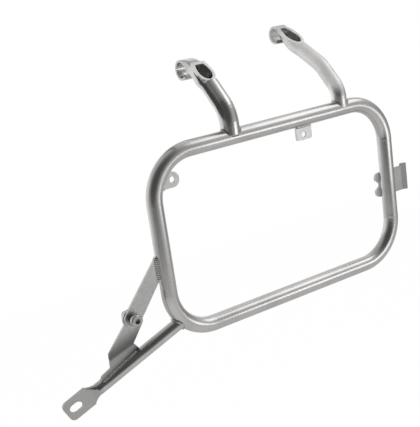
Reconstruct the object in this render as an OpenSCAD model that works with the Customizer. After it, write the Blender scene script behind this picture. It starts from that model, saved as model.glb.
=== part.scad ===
/* [Loop frame] */
// Outside diameter of the loop tube
tube_d = 18; // [16:0.5:20]
// Wall of the loop tube and of the arms
tube_wall = 1.5; // [1:0.1:2]
// Length of the loop between tube axes, front to rear
loop_w = 328; // [300:1:380]
// Height of the loop between tube axes
loop_h = 200; // [190:1:240]
// Centre line radius of the four loop corners
loop_bend_r = 50.5; // [44:0.5:60]

/* [Front arm] */
// Outside diameter of the front arm
front_arm_d = 21.3; // [20:0.1:22]
// Distance of the front arm ahead of the loop middle
front_arm_x = 58; // [45:0.5:75]
// Height above the top tube axis where the front arm starts to lean inwards
front_arm_rise = 27.5; // [24:0.5:36]
// Lean of the front arm from the vertical
front_arm_lean = 45; // [38:1:50]
// Centre line radius of the lower bend of the front arm
front_arm_bend_r = 34; // [28:1:38]
// Distance of the front hook centre inwards from the loop plane
front_hook_y = 72.5; // [70:0.5:75]
// Height of the front hook centre above the top tube axis
front_hook_z = 72.8; // [71:0.1:75]

/* [Rear arm] */
// Outside diameter of the rear arm
rear_arm_d = 18; // [17:0.1:19]
// Distance of the rear arm behind the loop middle
rear_arm_x = 99; // [85:1:105]
// Height above the top tube axis of the first rear bend
rear_arm_rise = 22.5; // [21:0.5:28]
// Distance from the first to the second rear bend
rear_arm_run = 39.5; // [36:0.5:44]
// Lean of the middle run of the rear arm from the vertical
rear_arm_lean = 43; // [38:1:48]
// Lean of the last run of the rear arm from the vertical
rear_arm_lean2 = 61; // [58:1:64]
// Centre line radius of the two tight rear bends
rear_arm_bend_r = 27; // [22:1:30]
// Distance of the rear hook centre inwards from the loop plane
rear_hook_y = 100.8; // [98:0.5:103]
// Height of the rear hook centre above the top tube axis
rear_hook_z = 88; // [87:0.5:91]

/* [Hooks] */
// Inside diameter of the front hook that goes over the rail
front_hook_bore = 18; // [17.4:0.1:18.4]
// Inside diameter of the rear hook
rear_hook_bore = 16.5; // [16:0.1:17]
// Thickness of the curled hooks
hook_wall = 2.7; // [2.3:0.1:3.2]
// Width of the front hook and its flattened arm end
front_hook_w = 17; // [16:0.1:18]
// Width of the rear hook and its flattened arm end
rear_hook_w = 15.5; // [14.5:0.1:16.5]
// Wall of the two flat cheeks beside the window
cheek = 2; // [1.6:0.1:2.4]
// Thickness of the flat rim round the window
rim_t = 2.4; // [1.8:0.1:3]

/* [Lower stay] */
// Outside diameter of the lower stay tube
stay_d = 14; // [13:0.5:15]
// Wall of the lower stay tube
stay_wall = 1.5; // [1.2:0.1:2]
// Length of the stay from the loop surface to the middle of its slot
stay_len = 137; // [125:1:150]
// Width of the pressed-flat lug
lug_w = 24.5; // [22:0.5:26]
// Thickness of the pressed-flat lug
lug_t = 3.4; // [3:0.1:4.4]
// Width of the lug slot
slot_w = 10.5; // [8.5:0.1:11]
// Overall length of the lug slot
slot_l = 15; // [12:0.5:18]

/* [Link plates] */
// Thickness of the upper link plate
link_t = 3; // [3:0.5:5]
// Width of the upper link plate at the screw
link_w = 20; // [18:0.5:22]
// Thickness of the folded lower plate
foot_t = 3; // [2.5:0.5:4]
// Angle of the fold of the lower plate
foot_fold = 29.5; // [24:0.5:33]
// Diameter of the screw that joins the two plates
screw_d = 8; // [6:1:8]

/* [Tabs and rear plate] */
// Thickness of the two small tabs
tab_t = 3; // [2.5:0.5:4]
// Hole in the round tab
round_tab_hole = 7; // [5:0.1:8]
// Hole in the square tab
square_tab_hole = 6.6; // [5:0.1:7]
// Thickness of the rear plate
rear_plate_t = 3; // [2:0.5:4]
// Height of the rear plate
rear_plate_h = 31; // [26:1:36]

/* [Hidden] */
$fn = 64;
tube_r = tube_d / 2;
bore_r = tube_r - tube_wall;
stay_r = stay_d / 2;
// Gap left between welded neighbours
seat = 0.2;
half_w = loop_w / 2;
half_h = loop_h / 2;
side_run = half_h - loop_bend_r;
top_run = half_w - loop_bend_r;

// Rigid frame with its axes given as columns
module frame_at(o, ex, ey, ez) {
    multmatrix([[ex[0], ey[0], ez[0], o[0]], [ex[1], ey[1], ez[1], o[1]],
        [ex[2], ey[2], ez[2], o[2]]]) children();
}

function unit(v) = v / norm(v);

// Extrudes a drawing of the front view (x, z) from y0 to y1
module plate_y(y0, y1) {
    translate([0, y1, 0]) rotate([90, 0, 0]) linear_extrude(y1 - y0) children();
}

// Extrudes a drawing of the side view (y, z) to both sides of the arm plane
module plate_x(w) {
    frame_at([-w / 2, 0, 0], [0, 1, 0], [0, 0, 1], [1, 0, 0]) linear_extrude(w) children();
}

// Loop corner, quarter turn in the loop plane, named by the signs of its side
module loop_corner(sx, sz, r) {
    a0 = sx > 0 ? (sz > 0 ? 0 : 270) : (sz > 0 ? 90 : 180);
    translate([sx * top_run, 0, sz * side_run]) rotate([90, 0, 0])
        rotate([0, 0, a0]) rotate_extrude(angle = 90) translate([loop_bend_r, 0]) circle(r);
}

module along_x(x0, x1, z, r) {
    translate([x0, 0, z]) rotate([0, 90, 0]) cylinder(h = x1 - x0, r = r);
}

module along_z(x, z0, z1, r) {
    translate([x, 0, z0]) cylinder(h = z1 - z0, r = r);
}

module loop_path(r) {
    along_x(-top_run, top_run, half_h, r);
    along_x(-top_run, top_run, -half_h, r);
    along_z(-half_w, -side_run, side_run, r);
    for (sx = [-1, 1]) {
        for (sz = [-1, 1]) {
            loop_corner(sx, sz, r);
        }
    }
}

module loop_tube() {
    color("silver") difference() {
        loop_path(tube_r);
        loop_path(bore_r);
    }
}

module closing_tube() {
    color("silver") difference() {
        along_z(half_w, -side_run + seat, side_run - seat, tube_r);
        along_z(half_w, -side_run - 1, side_run + 1, bore_r);
    }
}

// Ground butt welds, low bands round the two joints of the closing tube
module seam_welds() {
    color("gray") for (s = [-1, 1]) {
        translate([half_w, 0, s * side_run]) rotate_extrude()
            polygon([[tube_r + 0.12, -1.8], [tube_r + 0.4, -1], [tube_r + 0.4, 1],
                [tube_r + 0.12, 1.8]]);
    }
}

function bend_in(r, a) = r * tan(a / 2);

// Side view (y, z) directions of an arm that leans by the angle a
function along(a) = [sin(a), cos(a)];
function above(a) = [-cos(a), sin(a)];

// One station of an arm skin: crown point, belly point, half width, roundness exponent
function station(c, a, r) = [c + r * above(a), c - r * above(a), r, 2];

// Stations along one bend of centre line radius R that turns from the lean a0 to a1
function bend_stations(c, a0, a1, R, r, k) = [for (i = [0:k])
    let (a = a0 + (a1 - a0) * i / k, m = c - R * above(a0)) station(m + R * above(a), a, r)];

function bend_end(c, a0, a1, R) = c - R * above(a0) + R * above(a1);

// Closed outline of a station: a superellipse across the side plane
ring_n = 40;
function swing(c, q) = sign(c) * pow(abs(c), q);
function outline(s) = let (m = (s[0] + s[1]) / 2, h = norm(s[0] - s[1]) / 2,
    up = (s[0] - s[1]) / (2 * h), q = 2 / s[3]) [for (i = [0:ring_n - 1])
    let (t = 360 * (i + 0.5) / ring_n, v = m + h * swing(sin(t), q) * up)
    [s[2] * swing(cos(t), q), v[0], v[1]]];

// Skin carried over a list of stations, closed at both ends
module skin(list) {
    n = len(list);
    polyhedron(points = [for (s = list) for (p = outline(s)) p],
        faces = concat([[for (i = [ring_n - 1:-1:0]) i]],
            [for (k = [0:n - 2]) for (i = [0:ring_n - 1]) let (j = (i + 1) % ring_n,
                a = k * ring_n + i, b = k * ring_n + j) each [[a, b, a + ring_n],
                [b, b + ring_n, a + ring_n]]],
            [[for (i = [0:ring_n - 1]) (n - 1) * ring_n + i]]));
}

// Stations set inwards by the wall, for the inside of an arm
function inset(list, w) = [for (s = list) let (u = (s[0] - s[1]) / norm(s[0] - s[1]))
    [s[0] - w * u, s[1] + w * u, s[2] - w, s[3]]];

hook_lip = 228;
hook_back = 140;

// Side view of the throat the hook leaves open, between its lip and the arm end
module throat(r, low) {
    polygon(concat([[0, 0], [(r - 1) * cos(hook_back), (r - 1) * sin(hook_back)],
        [(r + 0.6) * cos(hook_back), (r + 0.6) * sin(hook_back)], [-10.5, 2.5],
        [-12, -4.5]], low, [[-36, -32], [60 * cos(hook_lip), 60 * sin(hook_lip)]]));
}

// Frame of the window rim: x along the rim, y across, z out of the window, lean of the rim
module rim_frame(hc, lean, v) {
    frame_at([0, hc[0], hc[1]] + v * [0, -cos(lean), sin(lean)], [0, sin(lean), cos(lean)],
        [-1, 0, 0], [0, -cos(lean), sin(lean)]) children();
}

// Mirrors half an outline, given as (u, half width) from the hook end, to a closed drawing
module both_sides(h) {
    n = len(h);
    polygon(concat(h, [for (i = [n - 1:-1:0]) [h[i][0], -h[i][1]]]));
}

// One upper arm: hook centre (y, z), hook width and bore, stations of the outside and of the
// inside, lean and height of the window rim, half outlines of rim and window, where the
// window stops being a shallow pocket, side view of the slice, lower throat line
module upper_arm(hc, w, bore, outside, inside, lean, v, rim, window, deep, slice, low) {
    difference() {
        union() {
            difference() {
                skin(outside);
                translate([0, hc[0], hc[1]]) plate_x(62) polygon(slice);
            }
            translate([0, hc[0], hc[1]]) plate_x(w) circle(bore / 2 + hook_wall);
            rim_frame(hc, lean, v - rim_t) linear_extrude(rim_t) both_sides(rim);
        }
        skin(inside);
        rim_frame(hc, lean, v - 1.8) linear_extrude(20) both_sides(window);
        rim_frame(hc, lean, v - 6) linear_extrude(5) intersection() {
            both_sides(window);
            translate([-100, -30]) square([100 - deep, 60]);
        }
        translate([0, hc[0], hc[1]]) plate_x(40) circle(bore / 2);
        translate([0, hc[0], hc[1]]) plate_x(44) throat(bore / 2, low);
        translate([-30, 0, 0]) rotate([0, 90, 0]) cylinder(h = 60, r = tube_r + seat);
    }
}

// Front arm: centre line points, then the pressed end given round the hook centre
arm_foot = 3.2;
fr = front_arm_d / 2;
front_hc = [front_hook_y, front_hook_z];
front_a = [0, front_arm_rise - bend_in(front_arm_bend_r, front_arm_lean)];
front_lean2 = 65;
front_c = front_hc + [-44.2, -17];
front_w = front_hook_w / 2 - 0.02;
// Half width between the tube and the hook, k from 0 to 1
function front_press(k) = fr + (front_w - fr) * k;
function front_sec(t, b, a, n) = [front_hc + t, front_hc + b, a, n];
front_end_list = [front_sec([-48.4, -9.1], [-34.6, -22.6], fr + 0.2, 2.1),
    front_sec([-44.6, -6.6], [-32.2, -20.6], fr + 0.3, 2.3),
    front_sec([-40.4, -3.6], [-29.5, -19], fr + 0.1, 2.5),
    front_sec([-35.8, 0], [-26.7, -17.5], front_press(0.15), 2.7),
    front_sec([-30, 4.4], [-24.2, -13.8], front_press(0.45), 3),
    front_sec([-25, 7.4], [-20.5, -9.9], front_press(0.75), 3.5),
    front_sec([-20, 9], [-16.5, -7], front_press(0.95), 4.4),
    front_sec([-14.5, 10.3], [-12, -5], front_w, 6),
    front_sec([-8, 11.25], [-6, -4], front_w, 9),
    front_sec([-4, 11.55], [-2.5, -2], front_w, 10),
    front_sec([0, 11.66], [0.5, 0], front_w, 10)];
front_run = concat([station([0, arm_foot], 0, fr)],
    bend_stations(front_a, 0, front_arm_lean, front_arm_bend_r, fr, 9),
    [station(front_c, front_arm_lean, fr)]);
front_stations = concat(front_run, front_end_list);
front_inside = concat(inset([station([0, arm_foot - 1], 0, fr)], tube_wall),
    inset([for (i = [1:len(front_run) - 1]) front_run[i]], tube_wall),
    inset([for (i = [0:5]) front_end_list[i]], cheek - 0.1),
    [front_sec([-19.6, 6.6], [-17.8, -4.6], front_w - cheek, 4.4),
    front_sec([-16, 7.2], [-15.3, -2.8], front_w - cheek, 5.5)]);
front_rim_lean = 51;
front_rim_v = 21.8;
front_rim = [[-13.5, 8.4], [-16, 9.2], [-20, 10.3], [-26, 10.9], [-33, 10.9], [-38, 9.7],
    [-42, 7], [-44.4, 3.6], [-45.2, 1]];
front_window = [[-17.6, 5.4], [-23, 7], [-29, 7.8], [-34, 7.5], [-38.5, 5.8], [-41.4, 3.2],
    [-42.4, 1]];
function front_rel(u, v) = u * along(front_rim_lean) + v * above(front_rim_lean);
front_slice = [front_rel(-15.2, front_rim_v - 0.3), front_rel(-44.8, front_rim_v - 0.3),
    front_rel(-47.5, front_rim_v + 4), front_rel(-47.5, 60), front_rel(-15.2, 60)];
front_low = [[-16.6, -7.15], [-20.6, -10.1], [-24.3, -13.9], [-36, -24.6]];

// Rear arm, its pressed end given along (u) and above (v) its last run from the hook centre
rr = rear_arm_d / 2;
rear_hc = [rear_hook_y, rear_hook_z];
rear_a = [0, rear_arm_rise - bend_in(rear_arm_bend_r, rear_arm_lean)];
rear_b = bend_end(rear_a, 0, rear_arm_lean, rear_arm_bend_r);
rear_lean_step = rear_arm_lean2 - rear_arm_lean;
rear_c = rear_b + (rear_arm_run - bend_in(rear_arm_bend_r, rear_arm_lean)
    - bend_in(rear_arm_bend_r, rear_lean_step)) * along(rear_arm_lean);
rear_d = bend_end(rear_c, rear_arm_lean, rear_arm_lean2, rear_arm_bend_r);
// Height of the last run of the rear arm above the hook centre
rear_off = (rear_d - rear_hc) * above(rear_arm_lean2);
function rear_at(u, v) = rear_hc + u * along(rear_arm_lean2) + v * above(rear_arm_lean2);
function rear_rel(u, v) = u * along(rear_arm_lean2) + v * above(rear_arm_lean2);
rear_w = rear_hook_w / 2 - 0.02;
function rear_sec(u, top, low, a, n) = [rear_at(u, top), rear_at(u, low), a, n];
rear_top = rear_off + rr;
rear_bot = rear_off - rr;
rear_out = rear_hook_bore / 2 + hook_wall;
rear_end_list = [rear_sec(-47, rear_top, rear_bot, rr, 2),
    rear_sec(-42.5, rear_top - 0.6, rear_bot, rr + 0.5, 2.1),
    rear_sec(-38, rear_out + 0.9, rear_bot, rr + 0.9, 2.3),
    rear_sec(-33, rear_out + 0.8, rear_bot, rr + 0.9, 2.5),
    rear_sec(-28, rear_out + 0.8, rear_bot + 0.9, rr + 0.5, 2.7),
    rear_sec(-23, rear_out + 0.8, rear_bot + 2.2, rr, 3),
    rear_sec(-18, rear_out + 0.7, rear_bot + 4, rr - 0.5, 3.4),
    rear_sec(-12, rear_out + 0.5, rear_bot + 6, rr - 1, 4.2),
    rear_sec(-7, rear_out + 0.1, 0, rear_w, 6), rear_sec(-3.5, rear_out - 0.02, 1, rear_w, 9),
    rear_sec(0, rear_out - 0.04, 2, rear_w, 10)];
rear_run = concat([station([0, arm_foot], 0, rr)],
    bend_stations(rear_a, 0, rear_arm_lean, rear_arm_bend_r, rr, 8),
    bend_stations(rear_c, rear_arm_lean, rear_arm_lean2, rear_arm_bend_r, rr, 4));
rear_stations = concat(rear_run, rear_end_list);
rear_inside = concat(inset([station([0, arm_foot - 1], 0, rr)], tube_wall),
    inset([for (i = [1:len(rear_run) - 1]) rear_run[i]], tube_wall),
    inset([rear_end_list[0]], tube_wall), inset([for (i = [1:6]) rear_end_list[i]], cheek - 0.1),
    [[rear_at(-10.8, rear_out - 0.6), rear_at(-12.4, 5), rear_w - cheek, 6]]);
rear_rim_v = rear_out - 0.05;
rear_rim = [[0, 6.6], [-5, 9], [-10, 10.7], [-16, 11.6], [-22, 11.7], [-30, 10.5],
    [-36.5, 8.2], [-40.6, 5.4], [-42.8, 2.4], [-43.2, 0.8]];
rear_window = [[-3.6, 3.5], [-10, 5.6], [-17, 7.2], [-23, 8], [-28, 7.8], [-33.5, 6],
    [-37.4, 3.6], [-38.8, 1.4]];
rear_slice = [rear_rel(-6, rear_rim_v - 0.3), rear_rel(-42.6, rear_rim_v - 0.3),
    rear_rel(-44.5, rear_rim_v + 3), rear_rel(-44.5, 60), rear_rel(-6, 60)];
rear_low = [[-15, -9.5], [-20.2, -15.3], [-28, -22.9], [-36, -29.4]];

module front_arm() {
    color("silver") translate([-front_arm_x, 0, half_h])
        upper_arm(front_hc, front_hook_w, front_hook_bore, front_stations, front_inside,
            front_rim_lean, front_rim_v, front_rim, front_window, 19, front_slice,
            front_low);
}

module rear_arm() {
    color("silver") translate([rear_arm_x, 0, half_h])
        upper_arm(rear_hc, rear_hook_w, rear_hook_bore, rear_stations, rear_inside,
            rear_arm_lean2, rear_rim_v, rear_rim, rear_window, 11.5, rear_slice, rear_low);
}

// Fillet weld round the foot of an upright tube of radius r on the top tube
module arm_weld(x, r) {
    color("gray") translate([x, 0, half_h]) difference() {
        intersection() {
            translate([0, 0, 3.2]) cylinder(h = 14, r = r + 2);
            translate([-20, 0, 0]) rotate([0, 90, 0])
                cylinder(h = 40, r = max(tube_r + 1.9, r + 1.4));
        }
        translate([-30, 0, 0]) rotate([0, 90, 0]) cylinder(h = 60, r = tube_r + 0.1);
        cylinder(h = 40, r = r + 0.1);
    }
}

module front_arm_weld() {
    arm_weld(-front_arm_x, front_arm_d / 2);
}

module rear_arm_weld() {
    arm_weld(rear_arm_x, rear_arm_d / 2);
}

// Stay frame: root on the loop corner surface, z along the stay, y normal to the lug
stay_root = [-half_w + 2.6, 0, -half_h + 13.3];
stay_dir = unit([-120.7, 25.9, -59.6]);
stay_n = unit([0, 1, 0] - stay_dir[1] * stay_dir);
stay_side = cross(stay_n, stay_dir);
press_l = 11;
// Far face of the lug from the stay axis
lug_off = lug_t - 1;
lug_back = 18.6;
// Stations of the pressed neck between the round stay and the flat lug, in the stay frame
neck_n = 8;
neck = [for (i = [0:neck_n]) let (k = i / neck_n, e = 0.15, m = 1 - pow(1 - k, 1.5),
    w = stay_r + (lug_w / 2 - stay_r) * pow(k, 1.9) - e, z = stay_len - lug_back - press_l
    + (press_l + 0.8) * k - 0.4) [[-stay_r + e + (lug_off - lug_t + stay_r) * m, z],
    [stay_r - e + (lug_off - stay_r) * m, z], w, 2 + 6 * k * k]];
lug_front = 12.4;

module in_stay() {
    frame_at(stay_root, stay_side, stay_n, stay_dir) children();
}

module stay_tube() {
    color("silver") difference() {
        in_stay() difference() {
            union() {
                translate([0, 0, -6]) cylinder(h = stay_len - lug_back - press_l + 6, r = stay_r);
                skin(neck);
                translate([0, lug_off, stay_len]) rotate([90, 0, 0]) linear_extrude(lug_t)
                    lug_outline();
            }
            translate([0, 0, -10]) cylinder(h = stay_len - lug_back - press_l + 8,
                r = stay_r - stay_wall);
            translate([0, 20, stay_len]) rotate([90, 0, 0]) linear_extrude(40) slot_outline();
        }
        loop_corner(-1, -1, tube_r + seat);
        along_x(-top_run, top_run, -half_h, tube_r + seat);
    }
}

module lug_outline() {
    r = 6;
    difference() {
        translate([-lug_w / 2, -lug_back]) square([lug_w, lug_back + lug_front]);
        for (s = [-1, 1]) {
            translate([s * (lug_w / 2 - r), lug_front - r]) difference() {
                translate([s > 0 ? 0 : -r - 1, 0]) square([r + 1, r + 1]);
                circle(r);
            }
        }
    }
}

module slot_outline() {
    run = (slot_l - slot_w) / 2;
    for (s = [-1, 1]) {
        translate([0, s * run]) circle(slot_w / 2);
    }
    translate([-slot_w / 2, -run]) square([slot_w, 2 * run]);
}

module stay_weld() {
    color("gray") difference() {
        intersection() {
            in_stay() translate([0, 0, -4]) cylinder(h = 16, r = stay_r + 1.9);
            loop_corner(-1, -1, tube_r + 1.8);
        }
        loop_corner(-1, -1, tube_r + 0.1);
        in_stay() translate([0, 0, -10]) cylinder(h = 40, r = stay_r + 0.1);
    }
}

// Screw axis of the two link plates in the front view (x, z)
screw_x = -half_w - 47.4;
screw_z = -half_h + 38;
foot_y = link_t / 2 + 0.1;

// Corners of the upper link plate in the front view
module link_outline() {
    tx = -half_w;
    difference() {
        union() {
            polygon([[tx - 4, -3], [tx - 9, -3.4], [screw_x - 6.6, screw_z + 7.5],
                [screw_x + 8.6, screw_z - 5], [tx - 12.6, -34.5], [tx - 9.6, -31.5],
                [tx - 4, -31.5]]);
            translate([screw_x, screw_z]) circle(link_w / 2);
        }
        translate([screw_x, screw_z]) circle(screw_d / 2 + 0.25);
    }
}

module link_plate() {
    color("lightgray") difference() {
        plate_y(-link_t / 2, link_t / 2) link_outline();
        along_z(-half_w, -side_run, side_run, tube_r + seat);
    }
}

module link_weld() {
    color("gray") for (s = [-1, 1]) {
        difference() {
            translate([-half_w - tube_r, s * (link_t / 2), -30.5]) cylinder(h = 24, r = 2.2);
            along_z(-half_w, -side_run, side_run, tube_r + 0.1);
            plate_y(-link_t / 2 - 0.1, link_t / 2 + 0.1) link_outline();
        }
    }
}

// Frame of the fold of the lower plate: origin on the fold, x along y, y up the plate
fold_dir = unit([0.962, 0, 0.272]);
fold_up = [-fold_dir[2], 0, fold_dir[0]];
fold_at = [screw_x - 34.1, foot_y, screw_z - 35.6];
fold_r = 4;

// Section across the fold: plate, bend and inclined foot
fold_n = 8;
function fold_arc(r, i) = let (R = fold_r + foot_t, a = foot_fold * i / fold_n)
    [R - r * cos(a), -r * sin(a)];

module fold_section() {
    R = fold_r + foot_t;
    t = [sin(foot_fold), -cos(foot_fold)];
    polygon(concat([[0, 80]], [for (i = [0:fold_n]) fold_arc(R, i)],
        [fold_arc(R, fold_n) + 34 * t, fold_arc(fold_r, fold_n) + 34 * t],
        [for (i = [fold_n:-1:0]) fold_arc(fold_r, i)], [[foot_t, 80]]));
}

// Front view of the lower plate: round top, straight sides, foot with a tongue
module foot_outline() {
    difference() {
        union() {
            polygon([[screw_x - 9.6, screw_z - 4.5], [screw_x - 32.8, screw_z - 29.6],
                [screw_x - 33.4, screw_z - 35], [screw_x - 30.8, screw_z - 49.1],
                [screw_x - 41.6, screw_z - 55], [screw_x - 43.5, screw_z - 66],
                [screw_x + 8, screw_z - 44], [screw_x + 4.4, screw_z - 37],
                [screw_x - 3.1, screw_z - 27.4], [screw_x + 11, screw_z - 9],
                [screw_x + 4, screw_z + 4]]);
            translate([screw_x, screw_z]) circle(10.6);
        }
        translate([screw_x, screw_z]) circle(screw_d / 2 + 0.25);
    }
}

module foot_solid() {
    intersection() {
        frame_at(fold_at - 20 * fold_dir, [0, 1, 0], fold_up, fold_dir) linear_extrude(90)
            fold_section();
        plate_y(foot_y - 5, foot_y + 40) foot_outline();
    }
}

module foot_plate() {
    color("lightgray") difference() {
        foot_solid();
        in_stay() cylinder(h = stay_len, r = stay_r + seat);
        in_stay() translate([-40, -30, 0]) cube([42, 60, 200]);
    }
}

// Beads on both faces of the lower plate where it meets the stay, ends in the stay frame
foot_beads = [[[6.9, -2.7, 53], [5.3, -5.5, 97]], [[6.7, 2.9, 53], [7.2, -0.9, 97]]];

module foot_weld() {
    color("gray") difference() {
        in_stay() for (e = foot_beads) {
            d = unit(e[1] - e[0]);
            n = unit([0, 1, 0] - d[1] * d);
            frame_at(e[0], cross(n, d), n, d) cylinder(h = norm(e[1] - e[0]), r = 1.35);
        }
        in_stay() cylinder(h = stay_len, r = stay_r + 0.1);
        foot_solid();
    }
}

module cap_screw() {
    y0 = -link_t / 2 - 1.8;
    color("darkgray") translate([screw_x, y0, screw_z]) rotate([-90, 0, 0]) {
        difference() {
            union() {
                translate([0, 0, -7.2]) cylinder(h = 7.2, r = 6.5);
                translate([0, 0, -8]) cylinder(h = 0.8, r1 = 5.8, r2 = 6.5);
            }
            translate([0, 0, -9]) rotate(30) cylinder(h = 5, r = 3.46, $fn = 6);
        }
        cylinder(h = 22, r = screw_d / 2);
    }
}

module washer() {
    difference() {
        cylinder(h = 1.6, r = 8);
        translate([0, 0, -1]) cylinder(h = 4, r = screw_d / 2 + 0.2);
    }
}

module washers() {
    color("darkgray") {
        translate([screw_x, -link_t / 2 - 0.1, screw_z]) rotate([90, 0, 0]) washer();
        translate([screw_x, foot_y + foot_t + 1.7, screw_z]) rotate([90, 0, 0]) washer();
    }
}

module lock_nut() {
    color("darkgray") translate([screw_x, foot_y + foot_t + 1.8, screw_z])
        rotate([-90, 0, 0]) difference() {
            union() {
                cylinder(h = 6, r = 7.5, $fn = 6);
                translate([0, 0, 5.5]) cylinder(h = 2.5, r1 = 6.2, r2 = 5.2);
            }
            translate([0, 0, -1]) cylinder(h = 12, r = screw_d / 2 + 0.1);
        }
}

// Round tab inside the upper front corner
round_x = -half_w + 24.7;
round_z = half_h - 28;

module round_tab_outline() {
    difference() {
        union() {
            translate([round_x, round_z]) circle(8.5);
            polygon([[round_x - 12.5, round_z - 8.5], [round_x, round_z - 8.5],
                [round_x, round_z + 8.5], [round_x - 1.5, round_z + 8.4],
                [round_x - 6, round_z + 9.6], [round_x - 14, round_z]]);
        }
        translate([round_x, round_z]) circle(round_tab_hole / 2);
    }
}

module round_tab() {
    color("lightgray") difference() {
        plate_y(-tab_t / 2, tab_t / 2) round_tab_outline();
        loop_corner(-1, 1, tube_r + seat);
    }
}

module round_tab_weld() {
    color("gray") difference() {
        intersection() {
            plate_y(-tab_t / 2 - 1.6, tab_t / 2 + 1.6) translate([-top_run, side_run])
                difference() {
                    circle(loop_bend_r - tube_r + 3);
                    circle(loop_bend_r - tube_r - 1.4);
                }
            plate_y(-9, 9) translate([round_x - 9, round_z - 1]) circle(9);
        }
        loop_corner(-1, 1, tube_r + 0.1);
        plate_y(-tab_t / 2 - 0.05, tab_t / 2 + 0.05) translate([round_x - 30, round_z - 30])
            square(60);
    }
}

square_x = 41;
square_z = half_h - 19;

module square_tab_outline() {
    difference() {
        union() {
            translate([square_x - 11, square_z - 3]) square([22, 16]);
            translate([square_x - 8, square_z - 6]) square([16, 12]);
            for (s = [-1, 1]) {
                translate([square_x + s * 8, square_z - 3]) circle(3);
            }
        }
        translate([square_x, square_z]) circle(square_tab_hole / 2);
    }
}

module square_tab() {
    color("lightgray") difference() {
        plate_y(-tab_t / 2, tab_t / 2) square_tab_outline();
        along_x(-top_run, top_run, half_h, tube_r + seat);
    }
}

module square_tab_weld() {
    color("gray") for (s = [-1, 1]) {
        difference() {
            translate([square_x - 10, s * tab_t / 2, half_h - tube_r]) rotate([0, 90, 0])
                cylinder(h = 20, r = 1.8);
            along_x(-top_run, top_run, half_h, tube_r + 0.1);
            plate_y(-tab_t / 2 - 0.1, tab_t / 2 + 0.1) square_tab_outline();
        }
    }
}

rear_z = -10.5;
rear_y = tube_r + seat;

module rear_plate_outline() {
    x0 = half_w;
    h2 = rear_plate_h / 2;
    difference() {
        union() {
            translate([x0 - 5, rear_z - h2]) square([39, rear_plate_h]);
            for (s = [-1, 1]) {
                translate([x0 - 5.2, rear_z + s * (h2 - 6.5)]) circle(6.5);
            }
        }
        translate([x0 - 12.2, rear_z]) circle(6);
    }
}

module rear_plate() {
    h2 = rear_plate_h / 2;
    color("lightgray") {
        plate_y(rear_y, rear_y + rear_plate_t) rear_plate_outline();
        translate([half_w + 34, rear_y + rear_plate_t, rear_z - h2]) rotate([0, 0, -25])
            translate([-0.5, -rear_plate_t, 0]) cube([8, rear_plate_t, rear_plate_h + 3]);
    }
}

module rear_plate_welds() {
    color("gray") for (s = [-1, 1]) {
        difference() {
            translate([half_w + s * 4.6, rear_y, rear_z - 12]) cylinder(h = 24, r = 1.8);
            along_z(half_w, -side_run, side_run, tube_r + 0.1);
            plate_y(rear_y - 0.1, rear_y + 10) translate([half_w - 15, rear_z - 20])
                square(40);
        }
    }
}

loop_tube();
closing_tube();
seam_welds();
front_arm();
front_arm_weld();
rear_arm();
rear_arm_weld();
stay_tube();
stay_weld();
link_plate();
link_weld();
foot_plate();
foot_weld();
cap_screw();
washers();
lock_nut();
round_tab();
round_tab_weld();
square_tab();
square_tab_weld();
rear_plate();
rear_plate_welds();
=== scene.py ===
"""Looks of the pannier bracket: satin stainless tube, rolled sheet, weld beads and a screw."""

import math

import bmesh
import bpy
import numpy as np
from mathutils import Matrix, Vector


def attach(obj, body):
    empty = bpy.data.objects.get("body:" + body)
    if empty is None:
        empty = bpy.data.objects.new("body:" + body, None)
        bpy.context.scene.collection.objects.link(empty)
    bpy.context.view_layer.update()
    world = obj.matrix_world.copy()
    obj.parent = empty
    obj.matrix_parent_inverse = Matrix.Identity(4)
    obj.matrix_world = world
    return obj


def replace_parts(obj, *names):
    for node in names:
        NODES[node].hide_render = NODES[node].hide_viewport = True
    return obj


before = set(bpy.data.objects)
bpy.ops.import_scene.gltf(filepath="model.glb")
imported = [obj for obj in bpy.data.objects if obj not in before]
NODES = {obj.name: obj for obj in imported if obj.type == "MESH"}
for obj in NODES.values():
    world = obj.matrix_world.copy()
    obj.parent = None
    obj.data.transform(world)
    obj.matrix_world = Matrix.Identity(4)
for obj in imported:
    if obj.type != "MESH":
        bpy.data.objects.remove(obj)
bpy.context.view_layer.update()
MM = 0.001


# Shader maths


class Sock:
    """One output of a node tree. Arithmetic on it adds Math nodes to the tree."""

    def __init__(self, bench, out):
        self.bench = bench
        self.out = out

    def math(self, operation, *values):
        feeds = dict(enumerate(values))
        return self.bench.node("ShaderNodeMath", {"operation": operation}, feeds)

    def __add__(self, other):
        return self.math("ADD", self, other)

    __radd__ = __add__

    def __sub__(self, other):
        return self.math("SUBTRACT", self, other)

    def __rsub__(self, other):
        return self.math("SUBTRACT", other, self)

    def __mul__(self, other):
        return self.math("MULTIPLY", self, other)

    __rmul__ = __mul__

    def __pow__(self, other):
        return self.math("POWER", self, other)

    def __abs__(self):
        return self.math("ABSOLUTE", self)

    def fade(self, low, high):
        """0 at low, 1 at high, smooth between; low may be above high."""
        feeds = {"Value": self, "From Min": low, "From Max": high, "To Min": 0.0, "To Max": 1.0}
        sets = {"interpolation_type": "SMOOTHSTEP"}
        return self.bench.node("ShaderNodeMapRange", sets, feeds)

    def between(self, low, high, soft):
        """1 between low and high, 0 outside, each edge 2 * soft wide about its limit."""
        return self.fade(low - soft, low + soft) * self.fade(high + soft, high - soft)

    def at_most(self, other):
        return self.math("MINIMUM", self, other)

    def at_least(self, other):
        return self.math("MAXIMUM", self, other)


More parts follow.
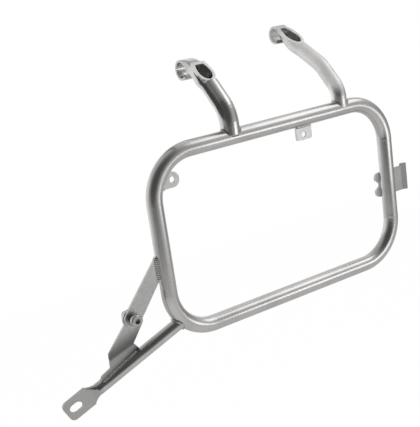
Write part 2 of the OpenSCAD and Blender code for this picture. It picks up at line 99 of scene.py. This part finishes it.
class Bench:
    """A node tree in the making. node() adds any node and returns one of its outputs."""

    def __init__(self, tree):
        self.tree = tree
        tree.nodes.clear()

    def node(self, kind, sets=None, feeds=None, out=0):
        made = self.tree.nodes.new(kind)
        for key, value in (sets or {}).items():
            setattr(made, key, value)
        for key, value in (feeds or {}).items():
            if isinstance(value, Sock):
                self.tree.links.new(value.out, made.inputs[key])
            else:
                made.inputs[key].default_value = value
        return Sock(self, made.outputs[out])

    def mix(self, factor, a, b):
        """Colour a where factor is 0 and colour b where it is 1."""
        made = self.tree.nodes.new("ShaderNodeMix")
        made.data_type = "RGBA"
        for key, value in ((0, factor), (6, a), (7, b)):
            if isinstance(value, Sock):
                self.tree.links.new(value.out, made.inputs[key])
            elif key == 0:
                made.inputs[key].default_value = value
            else:
                made.inputs[key].default_value = (*value, 1.0)
        return Sock(self, made.outputs[2])

    def grey(self, level, blue):
        """Grey of that level, its blue scaled by blue for a warmer tint."""
        return self.node("ShaderNodeCombineColor", None, {0: level, 1: level, 2: level * blue})

    def place(self):
        return self.node("ShaderNodeTexCoord", out="Object")

    def parts(self, vector):
        """The x, y and z of a vector as three sockets."""
        split = self.tree.nodes.new("ShaderNodeSeparateXYZ")
        self.tree.links.new(vector.out, split.inputs[0])
        return [Sock(self, o) for o in split.outputs]

    def noise(self, vector, scale, detail, rough):
        feeds = {"Vector": vector, "Scale": scale, "Detail": detail, "Roughness": rough}
        return self.node("ShaderNodeTexNoise", None, feeds)

    def lines(self, x, y, z, detail=3.0, rough=0.6):
        """Noise drawn out along the direction in which x, y and z change slowly."""
        vector = self.node("ShaderNodeCombineXYZ", None, {0: x, 1: y, 2: z})
        return self.noise(vector, 1.0, detail, rough)

    def bump(self, height, depth, strength):
        """Normal of a height field, depth in metres."""
        feeds = {"Height": height, "Distance": depth, "Strength": strength}
        return self.node("ShaderNodeBump", None, feeds)

    def metal(self, colour, roughness, normal, metallic=1.0):
        """Ends the material with one shiny surface. Below 1, metallic makes it duller."""
        feeds = {"Base Color": colour, "Roughness": roughness, "Normal": normal,
                 "Metallic": metallic}
        shader = self.node("ShaderNodeBsdfPrincipled", None, feeds)
        self.node_output("ShaderNodeOutputMaterial", shader)

    def node_output(self, kind, shader):
        end = self.tree.nodes.new(kind)
        self.tree.links.new(shader.out, end.inputs["Surface"])

    def ray_masks(self):
        """1 for rays from the camera, and 1 for rays off a shiny or through a clear surface."""
        kinds = self.tree.nodes.new("ShaderNodeLightPath").outputs
        shiny = Sock(self, kinds["Is Glossy Ray"])
        clear = Sock(self, kinds["Is Transmission Ray"])
        return Sock(self, kinds["Is Camera Ray"]), shiny.at_least(clear)


def new_material(name, build):
    made = bpy.data.materials.new(name)
    made.use_nodes = True
    build(Bench(made.node_tree))
    return made


# Metal finishes. Lengths are metres here, because Object coordinates are.

# The loop: half its width and height between tube axes, the bend of its corners and the
# outer radius of its tube.
HALF_W, HALF_H, BEND_R, TUBE_R = 0.164, 0.1, 0.0505, 0.009
# The lower stay: where its axis starts on the loop, and the way it runs.
STAY_ROOT = (-0.1614, 0.0, -0.0867)
STAY_WAY = (-0.88006, 0.18885, -0.43457)
# The folded plate: a point of its fold in x and z, and the way up its flat.
FOLD_AT = (-0.2455, -0.0976)
FOLD_UP = (-0.2721, 0.9623)


def loop_across(x, z):
    """Distance from the loop's centre line in its own plane: a rounded box's outline."""
    qx = abs(x) - (HALF_W - BEND_R)
    qz = abs(z) - (HALF_H - BEND_R)
    out = (qx.at_least(0.0) ** 2.0 + qz.at_least(0.0) ** 2.0) ** 0.5
    return out + qx.at_least(qz).at_most(0.0) - BEND_R


def satin_grey(bench, place, light, dark):
    """Slow cloudy change between two greys, with finer specks in it."""
    cloud = bench.noise(place, 38.0, 3.0, 0.55)
    speck = bench.noise(place, 900.0, 2.0, 0.6)
    return bench.mix((cloud * 0.75 + speck * 0.25).fade(0.36, 0.66), light, dark)


def loop_finish(bench):
    """Lengthwise polishing lines that follow the tube round its corners."""
    place = bench.place()
    x, y, z = bench.parts(place)
    across = loop_across(x, z)
    lines = bench.lines(across * 1500.0, y * 1500.0, (x + z) * 16.0)
    cloud = bench.noise(place, 26.0, 3.0, 0.6)
    colour = satin_grey(bench, place, (0.64, 0.63, 0.615), (0.565, 0.56, 0.55))
    roughness = 0.2 + cloud * 0.07 + lines * 0.05
    bench.metal(colour, roughness, bench.bump(lines, 0.00002, 0.6))


def arm_finish(hook_y, hook_z, arm_x, lean, rim, strap, dark, light, rough, matt):
    """Formed upper arm, in mm from the axis of its hook's bore at (arm_x, hook_y, hook_z).

    run goes lean degrees from +Z towards +Y, height outwards at a right angle to it. The
    window's rim is at height = rim and its strap starts at run = strap. Inside the window
    the metal is painted dark, of brightness dark, as painted shade of the pocket. The strap
    round the bore is darker, and matt is how far the upper part is blasted dull.
    """

    def build(bench):
        place = bench.place()
        x, y, z = bench.parts(place)
        a = math.radians(lean)
        dy, dz = y - hook_y * MM, z - hook_z * MM
        height = dz * math.sin(a) - dy * math.cos(a)
        run = dy * math.sin(a) + dz * math.cos(a)

        between_walls = abs(x - arm_x * MM).fade(0.0086, 0.0078)
        under_rim = height.fade((rim - 0.4) * MM, (rim - 1.3) * MM)
        above_floor = height.fade((rim - 19.0) * MM, (rim - 16.0) * MM)
        along = run.fade(-0.034, -0.031) * run.fade(strap * MM, (strap - 1.2) * MM)
        pit = between_walls * under_rim * (above_floor * along)

        lines = bench.lines(x * 1300.0, run * 60.0, height * 1300.0)
        cloud = bench.noise(place, 60.0, 4.0, 0.6)
        colour = satin_grey(bench, place, (light, light * 0.99, light * 0.975),
                            (light * 0.87, light * 0.865, light * 0.85))
        on_strap = run.fade(-0.017, -0.009)
        colour = bench.mix(on_strap * 0.3, colour, (0.3, 0.3, 0.295))
        # Painted shade: the window's pocket is painted dark, standing in for the shade inside
        # it.
        pit_shade = (bench.noise(place, 700.0, 2.0, 0.6) * 0.7 + 0.65) * dark
        colour = bench.mix(pit, colour, bench.grey(pit_shade, 0.94))
        blasted = z.fade(0.118, 0.132) * (1.0 - pit) * matt
        roughness = rough + cloud * 0.09 + pit * 0.3 + blasted * 0.3
        normal = bench.bump(lines + cloud * 2.0, 0.00003 - 0.00002 * matt, 0.6)
        bench.metal(colour, roughness, normal, 1.0 - pit * 0.85 - blasted)

    return build


def stay_finish(bench):
    """Lines along the stay, painted shade in its pinched crease, and a matt grainy lug."""
    place = bench.place()
    x, y, z = bench.parts(place)
    ways = zip((x, y, z), STAY_ROOT, STAY_WAY)
    steps = [(value - start) * way for value, start, way in ways]
    along = steps[0] + steps[1] + steps[2]
    lug = along.fade(0.108, 0.119)
    lines = bench.lines(y * 1400.0, along * 45.0, (x * 0.43 - z * 0.9) * 1400.0)
    cloud = bench.noise(place, 70.0, 4.0, 0.6)
    grain = bench.noise(place, 1300.0, 2.0, 0.6)
    colour = satin_grey(bench, place, (0.63, 0.62, 0.61), (0.54, 0.535, 0.525))
    colour = bench.mix(lug * 0.7, colour, (0.5, 0.5, 0.49))
    # Painted shade: the crease where the stay is pinched is darkened.
    pinch = along.fade(0.1, 0.109) * along.fade(0.119, 0.111)
    colour = bench.mix(pinch * 0.35, colour, (0.2, 0.2, 0.195))
    roughness = 0.21 + cloud * 0.08 + lug * (0.14 + grain * 0.1)
    bench.metal(colour, roughness, bench.bump(lines * (1.0 - lug) + grain * lug, 0.00003, 0.7))


def sheet_metal(bench, place, shade, rough, metallic=1.0):
    """Matt rolled sheet: fine mottling and faint rolling lines. shade scales its grey."""
    x, y, z = bench.parts(place)
    mottle = bench.noise(place, 420.0, 4.0, 0.65)
    cloud = bench.noise(place, 48.0, 3.0, 0.6)
    rolled = bench.lines(x * 1500.0, y * 1500.0, z * 40.0, 2.0, 0.5)
    tone = (mottle * 0.55 + cloud * 0.45).fade(0.35, 0.65) * 0.1
    colour = bench.grey((0.66 - tone) * shade, 0.985)
    roughness = rough + mottle * 0.12
    bench.metal(colour, roughness, bench.bump(mottle + rolled * 0.5, 0.00004, 0.7), metallic)


def sheet_finish(bench):
    """Plain rolled sheet."""
    sheet_metal(bench, bench.place(), 1.0, 0.34)


def rear_finish(bench):
    """The rear plate's sheet, blasted dull; the ears inside the loop are duller and painted
    palest.
    """
    place = bench.place()
    x, y, z = bench.parts(place)
    ears = x.fade(0.164, 0.156)
    drawn = bench.lines(x * 900.0, y * 900.0, z * 25.0)
    # Painted light: the ears' grey is raised where the upright tube shades them.
    sheet_metal(bench, place, 0.68 + drawn * 0.3 + ears * 0.25, 0.46, 1.0 - ears * 0.7)


def foot_finish(bench):
    """Painted shade: the flat darkens towards the fold, the foot less so, with drawn lines."""
    place = bench.place()
    x, y, z = bench.parts(place)
    up = (x - FOLD_AT[0]) * FOLD_UP[0] + (z - FOLD_AT[1]) * FOLD_UP[1]
    above = up.fade(0.021, 0.001)
    below = up.fade(0.0, -0.004)
    drawn = bench.lines(x * 60.0, y * 60.0, up * 1500.0, 2.0, 0.5)
    # Painted shade near the fold and on the foot, which faces down.
    shade = 1.0 - above * 0.72 + below * (0.2 + drawn * 0.5)
    sheet_metal(bench, place, shade, 0.3)


def weld_finish(bench):
    """Weld metal: slightly darker, with a faint straw tint in places."""
    place = bench.place()
    cloud = bench.noise(place, 160.0, 4.0, 0.6)
    grain = bench.noise(place, 1500.0, 2.0, 0.6)
    colour = bench.mix(cloud.fade(0.35, 0.7), (0.62, 0.61, 0.595), (0.48, 0.47, 0.455))
    bench.metal(colour, 0.26 + grain * 0.14, bench.bump(cloud * 3.0 + grain, 0.00008, 0.8))


def foot_weld_finish(bench):
    """Root weld between the foot and the stay, darker than the other welds, and dull."""
    place = bench.place()
    cloud = bench.noise(place, 300.0, 4.0, 0.6)
    colour = bench.mix(cloud.fade(0.35, 0.65), (0.3, 0.295, 0.285), (0.2, 0.197, 0.19))
    bench.metal(colour, 0.42, bench.bump(cloud, 0.0001, 0.8), 0.75)


def fastener_finish(bench):
    """Turned and rolled steel of the screw, its washers and its nut."""
    place = bench.place()
    cloud = bench.noise(place, 260.0, 3.0, 0.6)
    grain = bench.noise(place, 2200.0, 2.0, 0.6)
    colour = bench.mix(cloud.fade(0.35, 0.65), (0.58, 0.575, 0.565), (0.45, 0.445, 0.44))
    bench.metal(colour, 0.2 + grain * 0.1, bench.bump(grain, 0.00003, 0.6))


# The upper arms, as arm_finish takes them.
FRONT_X, REAR_X = -58.0, 99.0
FRONT = {"hook_y": 72.5, "hook_z": 172.8, "arm_x": FRONT_X, "lean": 51.0, "rim": 21.8,
         "strap": -13.0, "dark": 0.1, "light": 0.66, "rough": 0.15, "matt": 0.0}
# The rear arm's light grey is paler than the front arm's: painted light, for the brighter light
# that falls on the rear arm.
REAR = {"hook_y": 100.8, "hook_z": 188.0, "arm_x": REAR_X, "lean": 61.0, "rim": 10.9,
        "strap": -1.6, "dark": 0.16, "light": 0.84, "rough": 0.26, "matt": 0.5}
finishes = {
    "loop": new_material("satin_loop_tube", loop_finish),
    "front": new_material("satin_front_arm", arm_finish(**FRONT)),
    "rear": new_material("satin_rear_arm", arm_finish(**REAR)),
    "stay": new_material("satin_stay", stay_finish),
    "sheet": new_material("rolled_sheet", sheet_finish),
    "foot": new_material("folded_sheet", foot_finish),
    "rear_sheet": new_material("rear_sheet", rear_finish),
    "weld": new_material("weld_metal", weld_finish),
    "foot_weld": new_material("foot_weld_metal", foot_weld_finish),
    "screw": new_material("screw_metal", fastener_finish),
}
wears = {
    "loop_tube": "loop",
    "closing_tube": "loop",
    "front_arm": "front",
    "rear_arm": "rear",
    "stay_tube": "stay",
    "link_plate": "sheet",
    "foot_plate": "foot",
    "round_tab": "sheet",
    "square_tab": "sheet",
    "rear_plate": "rear_sheet",
    "seam_welds": "loop",
    "front_arm_weld": "weld",
    "rear_arm_weld": "weld",
    "stay_weld": "weld",
    "link_weld": "weld",
    "foot_weld": "foot_weld",
    "round_tab_weld": "weld",
    "square_tab_weld": "weld",
    "rear_plate_welds": "weld",
    "cap_screw": "screw",
    "washers": "screw",
    "lock_nut": "screw",
}
for node, finish in wears.items():
    for worn in NODES[node].material_slots:
        worn.material = finishes[finish]


# Pieces made in mesh code. Their formulas are in millimetres and end with * MM.

TUBE = TUBE_R / MM
SCREW_X, SCREW_Z = -0.2114, -0.062


def grid_piece(name, points, finish, close_v=False, caps=False):
    """Piece from a grid of points in metres: rows along v, columns round u, faces outwards.

    u always closes on itself. close_v joins the last row to the first, caps fills both ends.
    """
    rows, cols = points.shape[:2]
    u = np.arange(cols)
    v = np.arange(rows if close_v else rows - 1)
    vv, uu = np.meshgrid(v, u, indexing="ij")
    v2, u2 = (vv + 1) % rows, (uu + 1) % cols
    quads = np.stack([vv * cols + uu, vv * cols + u2, v2 * cols + u2, v2 * cols + uu], -1)
    faces = [list(q) for q in quads.reshape(-1, 4).tolist()]
    if caps:
        faces.append(list(range(cols))[::-1])
        faces.append([(rows - 1) * cols + k for k in range(cols)])
    mesh = bpy.data.meshes.new(name)
    mesh.from_pydata(points.reshape(-1, 3).tolist(), [], faces)
    shape = bmesh.new()
    shape.from_mesh(mesh)
    bmesh.ops.recalc_face_normals(shape, faces=shape.faces)
    shape.to_mesh(mesh)
    shape.free()
    mesh.polygons.foreach_set("use_smooth", [True] * len(mesh.polygons))
    mesh.materials.append(finishes[finish])
    piece = bpy.data.objects.new(name, mesh)
    bpy.context.scene.collection.objects.link(piece)
    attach(piece, "root")
    return piece


def about_screw(r, run, turn):
    """Grid at radius r and depth run about the screw's axis, turn being 0 to 1 round it."""
    a = 2 * np.pi * turn
    points = np.stack([SCREW_X + r * np.cos(a) * MM, run * MM + 0 * a,
                       SCREW_Z - r * np.sin(a) * MM], -1)
    return points[:, ::-1]


def bezier(start, pull, end, steps):
    """The curves (1-t)^2 start + 2t(1-t) pull + t^2 end, step by step, and their t."""
    t = np.linspace(0, 1, steps)[:, None, None]
    return (1 - t) ** 2 * start + 2 * t * (1 - t) * pull + t**2 * end, t


def run_out(z):
    """0 at both ends of a seam and 1 from 3 mm off them, by a square root."""
    return np.clip(np.minimum(z - z[0], z[-1] - z) / 3.0, 0, 1) ** 0.5


def thread_piece():
    """Rolled thread on the screw's end: radius r0 - depth * (1 - saw), where saw is the
    triangle wave of (run / pitch - turn), less a chamfer over the last millimetre."""
    pitch, r0, depth, chamfer, core = 1.25, 4.06, 0.62, 0.7, 3.3
    start, end = 14.5, 18.9
    turn = np.linspace(0, 1, 48, endpoint=False)[None, :]
    run = np.linspace(start, end, 60)[:, None]
    saw = np.abs(((run / pitch - turn) % 1.0) - 0.5) * 2
    taper = np.clip(end - run, 0, 1) ** 0.7
    r = r0 - depth * (1 - saw) - chamfer * (1 - taper)
    r[0, :] = core
    grid_piece("screw_thread", about_screw(r, run, turn), "screw", caps=True)


def knurl_piece():
    """Knurled band round the screw head: radius r0 + rise * (1 + 1.2 * tooth), where tooth
    is the triangle wave of teeth * turn. At both edges rise is below zero and tooth left out."""
    teeth, r0 = 44, 6.5
    turn = np.linspace(0, 1, teeth * 4, endpoint=False)[None, :]
    run = np.array([-10.3, -10.1, -9.9, -7.0, -4.6, -4.2])[:, None]
    rise = np.array([-0.06, 0.02, 0.1, 0.1, 0.1, -0.06])[:, None]
    tooth = 1 - np.abs(((turn * teeth) % 1.0) - 0.5) * 2
    r = r0 + rise + np.clip(rise, 0, 1) * 1.2 * tooth
    grid_piece("head_knurl", about_screw(r, run, turn), "screw")


def fillet_piece(name, arm_x, arm_r, node):
    """Weld round an arm's foot. For each turn round the arm, a bezier goes from top, a point
    up the arm, to out, a point on the loop's tube, pulled towards foot, the corner between
    them. A hump 4t(1-t) * (0.16 |sin(17 turn)| + 0.05) ripples it away from the corner."""
    high, wide, sunk = 2.6, 2.4, 0.1
    turn = np.linspace(0, 2 * np.pi, 144, endpoint=False)
    c, d = np.cos(turn), np.sin(turn)
    y_foot = np.clip(arm_r * d, -0.93 * TUBE, 0.93 * TUBE)
    z_foot = np.sqrt(TUBE**2 - y_foot**2)
    swell = 1 + 0.1 * np.sin(turn * 3 + 0.7)
    top = np.stack([(arm_r - sunk) * c, (arm_r - sunk) * d, z_foot + high * swell], -1)
    foot = np.stack([arm_r * c, arm_r * d * 0.985, z_foot], -1)
    lean = np.arcsin(y_foot / TUBE) + wide * swell * d / TUBE
    out = np.stack([(arm_r + wide * swell * np.abs(c)) * c, (TUBE - sunk) * np.sin(lean),
                    (TUBE - sunk) * np.cos(lean)], -1)
    inner = foot * [0.96, 0.96, 1] - [0, 0, 0.5]
    pull = foot * 0.62 + (top + out) * 0.19
    face, t = bezier(top, pull, out, 11)
    hump = (4 * t * (1 - t)) * (0.16 * np.abs(np.sin(turn * 17))[None, :, None] + 0.05)
    away = pull - foot
    face = face + hump * away / np.linalg.norm(away, axis=-1, keepdims=True)
    ring = np.concatenate([face, inner[None]]) + np.array([arm_x, 0, HALF_H / MM])
    piece = grid_piece(name, ring.transpose(1, 0, 2) * MM, "weld", close_v=True)
    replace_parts(piece, node)


def seam_piece(name, z):
    """Ground seam round the upright: over 7 mm the radius rises from 0.02 mm under the tube's
    by 0.1 * (0.5 + 0.5 cos(pi run / 3.5))^0.7. Its inside is 0.4 mm under the surface."""
    half, rise = 3.5, 0.1
    run = np.linspace(-half, half, 15)[:, None]
    turn = np.linspace(0, 2 * np.pi, 96, endpoint=False)[None, :]
    r = TUBE - 0.02 + rise * (0.5 + 0.5 * np.cos(np.pi * run / half)) ** 0.7
    inside = np.full((1, 1), TUBE - 0.4)
    r = np.concatenate([inside, r, inside]) + 0 * turn
    run = np.concatenate([run[:1], run, run[-1:]])
    pts = np.stack([HALF_W / MM + r * np.cos(turn), r * np.sin(turn), z + run + 0 * turn], -1)
    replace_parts(grid_piece(name, pts * MM, "loop", close_v=True), "seam_welds")


def foot_fillet():
    """Weld between stay and folded foot, in the stay's frame (side, normal, along). At each z
    along the stay a bezier goes from a point out on the foot's face to one round the stay,
    pulled towards their corner, and coin = |sin(pi z / 2.3)| ripples its size."""
    along = np.array(STAY_WAY)
    normal = np.array([0.0, 1.0, 0.0]) - along[1] * along
    normal /= np.linalg.norm(normal)
    side = np.cross(normal, along)
    z = np.linspace(51.0, 98.5, 181)
    coin = np.abs(np.sin(np.pi * z / 2.3))
    leg, radius = 2.6, 7.02
    size = (0.3 + 0.7 * run_out(z)) * (1 - 0.08 * coin)
    y = -1.62 - 0.0697 * (z - 60.0)
    turn = np.arcsin(y / radius)
    corner = np.stack([radius * np.cos(turn), y], -1)
    plate_edge = corner + leg * size[:, None] * np.array([0.855, -0.52])
    lower = turn - 2.4 * size / radius
    tube_edge = radius * np.stack([np.cos(lower), np.sin(lower)], -1)
    pull = corner + (plate_edge + tube_edge - 2 * corner) * 0.3
    curve, t = bezier(plate_edge, pull, tube_edge, 8)
    curve = curve + 0.5 * t * (1 - t) * (1 - coin)[None, :, None] * np.array([0.35, -0.93])
    ring = np.concatenate([curve, (corner + np.array([-0.25, 0.1]))[None]])
    pts = ring[..., :1] * side + ring[..., 1:] * normal + z[None, :, None] * along
    pts = (np.array(STAY_ROOT) / MM + pts).transpose(1, 0, 2) * MM
    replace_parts(grid_piece("foot_bead", pts, "foot_weld", caps=True), "foot_weld")


def link_fillet(name, side):
    """Weld between plate and upright. At each z a bezier goes from a point out on the plate's
    face to one round the tube, pulled towards their corner. coin = |sin(pi z / 2.1)| ripples
    its size, and it runs out at both ends."""
    z = np.linspace(-33.0, -4.5, 115)
    ends = run_out(z)
    coin = np.abs(np.sin(np.pi * z / 2.1))
    size = (0.25 + 0.75 * ends) * (1 - 0.1 * coin)
    face, radius = 1.52, TUBE + 0.02
    corner = np.array([-np.sqrt(TUBE**2 - face**2), face])
    lean = np.arcsin(face / TUBE) + 3.6 * size / TUBE
    plate_edge = np.stack([corner[0] - 3.9 * size, np.full_like(z, face)], -1)
    tube_edge = radius * np.stack([-np.cos(lean), np.sin(lean)], -1)
    pull = corner + (plate_edge + tube_edge - 2 * corner) * 0.24
    curve, t = bezier(plate_edge, pull, tube_edge, 9)
    lift = (4 * t * (1 - t)) * 0.14 * (1 - coin)[None, :, None] * ends[None, :, None]
    curve = curve + lift * np.array([-0.7, 0.7])
    inner = np.broadcast_to(corner + [0.3, -0.3], plate_edge.shape)
    ring = np.concatenate([curve, inner[None]])
    pts = np.stack([ring[..., 0] - HALF_W / MM, side * ring[..., 1],
                    np.broadcast_to(z, ring.shape[:2])], -1).transpose(1, 0, 2) * MM
    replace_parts(grid_piece(name, pts, "weld", caps=True), "link_weld")


thread_piece()
knurl_piece()
seam_piece("upper_seam", 49.5)
seam_piece("lower_seam", -49.5)
link_fillet("link_bead_front", -1)
link_fillet("link_bead_back", 1)
foot_fillet()
fillet_piece("front_arm_fillet", FRONT_X, 10.65, "front_arm_weld")
fillet_piece("rear_arm_fillet", REAR_X, 9.0, "rear_arm_weld")


# Camera and studio

# The camera that the photo's perspective gives: focal length and width in photo pixels.
FOCAL_PX, PHOTO_PX, SENSOR_MM = 864.0, 420.0, 36.0
CAMERA_AT = (-0.5658, -0.77858, 0.27354)
CAMERA_WAY = (0.4958, 0.8268, -0.2656)
CAMERA_UP = (0.2598, 0.1505, 0.9538)


def aim(piece, place, forward, up):
    """Turns piece so that its -Z looks along forward."""
    f = Vector(forward).normalized()
    u = (Vector(up) - Vector(up).dot(f) * f).normalized()
    r = f.cross(u)
    turn = Matrix((r, u, -f)).transposed().to_4x4()
    piece.matrix_world = Matrix.Translation(place) @ turn


view = bpy.data.cameras.new("view")
view.sensor_fit = "HORIZONTAL"
view.sensor_width = SENSOR_MM
view.lens = SENSOR_MM * FOCAL_PX / PHOTO_PX
view.clip_start = 0.01
camera = bpy.data.objects.new("view", view)
bpy.context.scene.collection.objects.link(camera)
aim(camera, CAMERA_AT, CAMERA_WAY, CAMERA_UP)
bpy.context.scene.camera = camera


def soft_box(name, azimuth, height, away, wide, tall, power):
    """A rectangular lamp away metres off, azimuth from +Y towards +X, aimed at the loop."""
    a, h = math.radians(azimuth), math.radians(height)
    place = Vector((math.sin(a) * math.cos(h), math.cos(a) * math.cos(h), math.sin(h))) * away
    lamp = bpy.data.lights.new(name, "AREA")
    lamp.shape = "RECTANGLE"
    lamp.size, lamp.size_y = wide, tall
    lamp.energy = power
    lamp_object = bpy.data.objects.new(name, lamp)
    bpy.context.scene.collection.objects.link(lamp_object)
    aim(lamp_object, place, -place, (0, 0, 1))
    return lamp_object


soft_box("front_strip", 145, -5, 0.8, 0.38, 0.24, 0.44)
soft_box("right_key", 110, 48, 1.7, 1.1, 0.8, 1.6)
soft_box("fill", -145, 20, 1.0, 0.5, 0.5, 7.0).visible_glossy = False

# Soft boxes painted on the sky: azimuth from and to, height from and to and the softness of
# the edges, in degrees, and brightness.
STUDIO = [
    (74, 138, 29, 65, 9, 1.15),
    (28, 84, 34, 70, 9, 0.9),
    (-64, 64, -24, 26, 12, 0.98),
    (-200, 200, -95, -34, 12, 0.7),
]
# The room's brightness, and the darker patch behind the camera: its brightness, the way to
# its middle, and the degrees from there over which it goes back to the room's.
ROOM, DIM = 0.58, 0.09
DIM_WAY = (-0.583, -0.694, 0.423)
DIM_NEAR, DIM_FAR = 28, 76
TO_DEGREES = 180 / math.pi


def studio_sky(bench):
    """White to the camera and, in reflections, behind the object. Else a grey room that is
    dim behind the camera and low on the right, with the soft boxes."""
    way = bench.node("ShaderNodeTexCoord", out="Generated")
    x, y, z = bench.parts(way)
    azimuth = x.math("ARCTAN2", x, y) * TO_DEGREES
    height = z.math("ARCSINE", z.at_least(-1.0).at_most(1.0)) * TO_DEGREES
    toward = x * DIM_WAY[0] + y * DIM_WAY[1] + z * DIM_WAY[2]
    apart = toward.math("ARCCOSINE", toward.at_least(-1.0).at_most(1.0)) * TO_DEGREES
    level = DIM + (ROOM - DIM) * apart.fade(DIM_NEAR, DIM_FAR)
    low_right = azimuth.between(75, 115, 9) * height.fade(18, 4)
    level = level * (1 - low_right * 0.45)
    for a0, a1, h0, h1, soft, bright in STUDIO:
        box = azimuth.between(a0, a1, soft) * height.between(h0, h1, soft)
        level = level.at_least(box * bright)
    camera_ray, shiny_ray = bench.ray_masks()
    behind = azimuth.fade(-62, -40) * azimuth.fade(66, 50) * height.fade(30, 18)
    white = camera_ray.at_least(shiny_ray * behind)
    strength = level * (1 - white) + white
    sets = {"Color": (1, 1, 1, 1), "Strength": strength}
    bench.node_output("ShaderNodeOutputWorld", bench.node("ShaderNodeBackground", None, sets))


world = bpy.data.worlds.new("studio")
world.use_nodes = True
studio_sky(Bench(world.node_tree))
bpy.context.scene.world = world


def floor_finish(bench):
    """Pale floor, white to the camera, a little of the object's shadow left in it."""
    plain = bench.node("ShaderNodeBsdfDiffuse", None, {"Color": (0.52, 0.52, 0.52, 1)})
    glow = bench.node("ShaderNodeEmission", None, {"Color": (1, 1, 1, 1), "Strength": 1.03})
    camera_ray, shiny_ray = bench.ray_masks()
    factor = camera_ray * 0.95 + shiny_ray * 0.35
    shader = bench.node("ShaderNodeMixShader", None, {0: factor, 1: plain, 2: glow})
    bench.node_output("ShaderNodeOutputMaterial", shader)


def card_finish(bench):
    """Nearly black card."""
    shader = bench.node("ShaderNodeBsdfDiffuse", None, {"Color": (0.11, 0.11, 0.11, 1)})
    bench.node_output("ShaderNodeOutputMaterial", shader)


def flat_piece(name, corners, finish):
    """One flat face of the stage."""
    mesh = bpy.data.meshes.new(name)
    mesh.from_pydata(corners, [], [tuple(range(len(corners)))])
    mesh.materials.append(finish)
    piece = bpy.data.objects.new(name, mesh)
    bpy.context.scene.collection.objects.link(piece)
    return piece


FLOOR_Z, FLOOR_HALF = -0.42, 1.1
FLOOR = [(sx * FLOOR_HALF, sy * FLOOR_HALF, FLOOR_Z)
         for sx, sy in ((-1, -1), (1, -1), (1, 1), (-1, 1))]
floor = flat_piece("floor", FLOOR, new_material("pale_floor", floor_finish))

# The card stands in front of the front arm and clears the loop's tube. The camera doesn't
# see it, but that flank of the arm reflects it. Its corners are y and z.
CARD_X = -0.13
CARD = [(-0.02, 0.12), (0.068, 0.12), (0.115, 0.17), (0.13, 0.24), (0.07, 0.23), (-0.02, 0.165)]
card = flat_piece("black_card", [(CARD_X, y, z) for y, z in CARD],
                  new_material("card", card_finish))
card.visible_camera = False

bpy.context.scene.view_settings.view_transform = "Standard"
